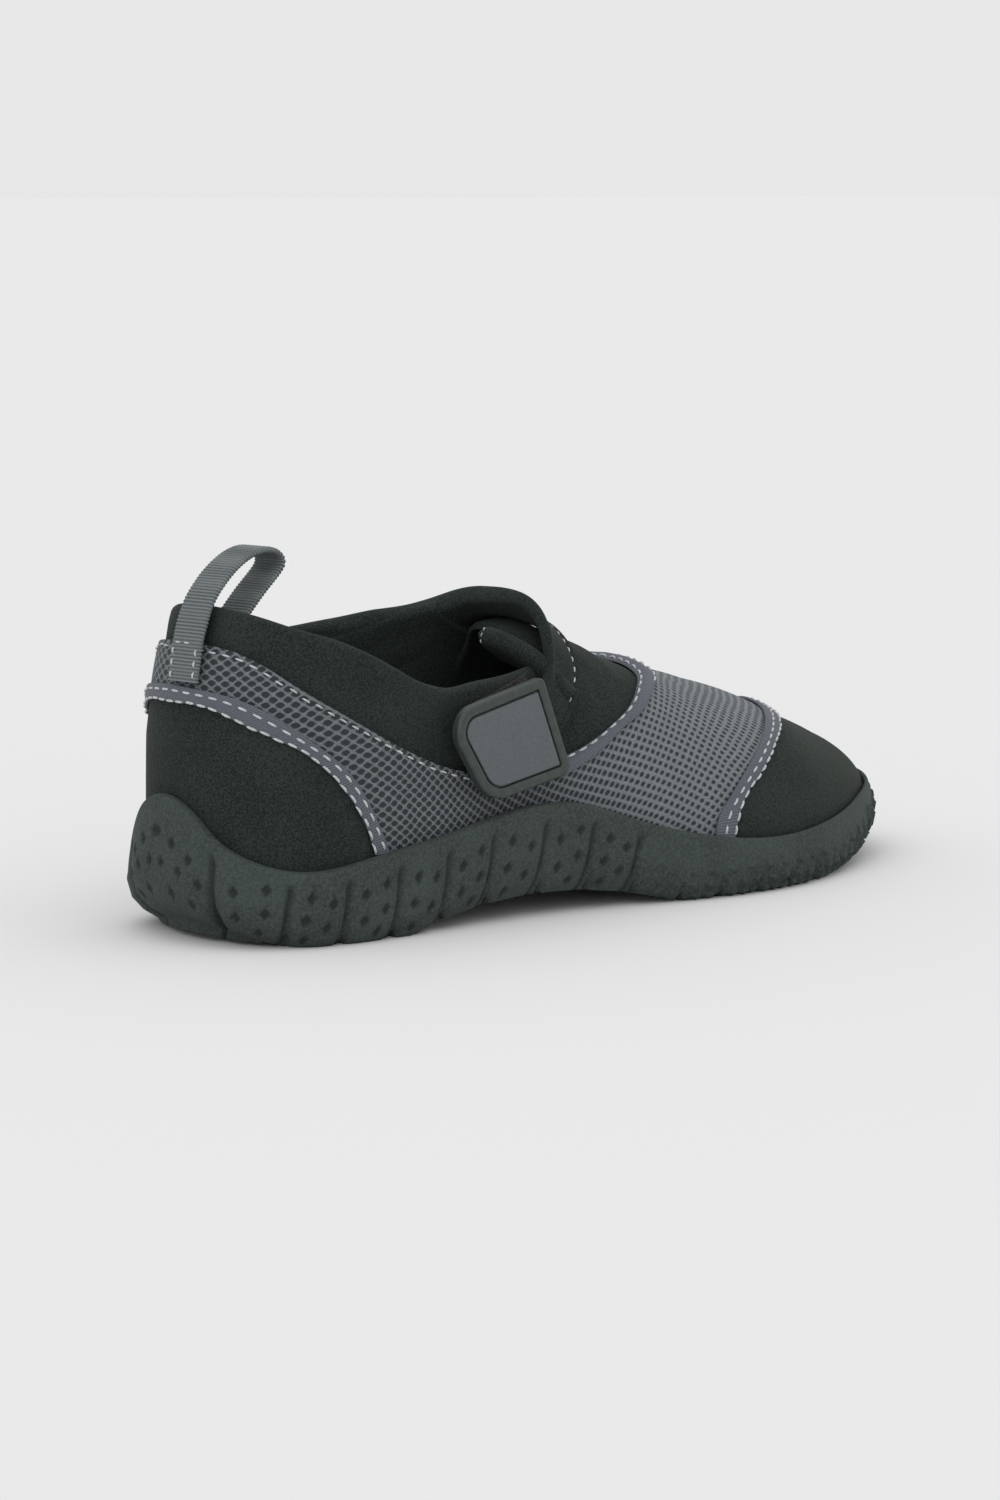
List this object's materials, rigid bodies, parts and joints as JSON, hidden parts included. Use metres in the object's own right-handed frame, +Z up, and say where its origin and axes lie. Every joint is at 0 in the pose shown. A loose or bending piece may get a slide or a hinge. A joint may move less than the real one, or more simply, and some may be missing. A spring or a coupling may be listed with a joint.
{
  "type": "water shoe",
  "caption": "Child's low water shoe for the right foot, with a grooved rubber cup sole, mesh and neoprene upper, instep strap and heel pull loop.",
  "frame": {"origin": "on the floor, under the flat lug in the middle of the heel", "axes": "+X towards the toe, -Y towards the outer side of the right foot, +Z up from the floor"},
  "size_m": [0.205, 0.0808, 0.0805],
  "materials": {
    "sole_rubber": "matt moulded rubber with a fine dull grain",
    "neoprene": "matt knitted face on neoprene",
    "mesh_fabric": "open knitted mesh with small diamond holes",
    "seam_tape": "matt woven tape",
    "hook_tape": "dark fine hooks",
    "badge_rubber": "satin moulded rubber",
    "badge_inlay": "plain matt panel",
    "webbing": "ribbed woven webbing",
    "insole_foam": "dark jersey over foam"
  },
  "bodies": {
    "root": {"sole": "sole_rubber", "insole": "insole_foam", "upper": "neoprene", "tongue": "neoprene", "mesh_panel": "mesh_fabric", "heel_counter": "neoprene", "toe_cap": "neoprene", "heel_tape": "seam_tape", "toe_tape": "seam_tape", "vamp_tape": "seam_tape", "strap": "neoprene", "hook_strip": "hook_tape", "strap_badge": "badge_rubber", "badge_inlay": "badge_inlay", "pull_loop": "webbing"}
  },
  "joints": []
}
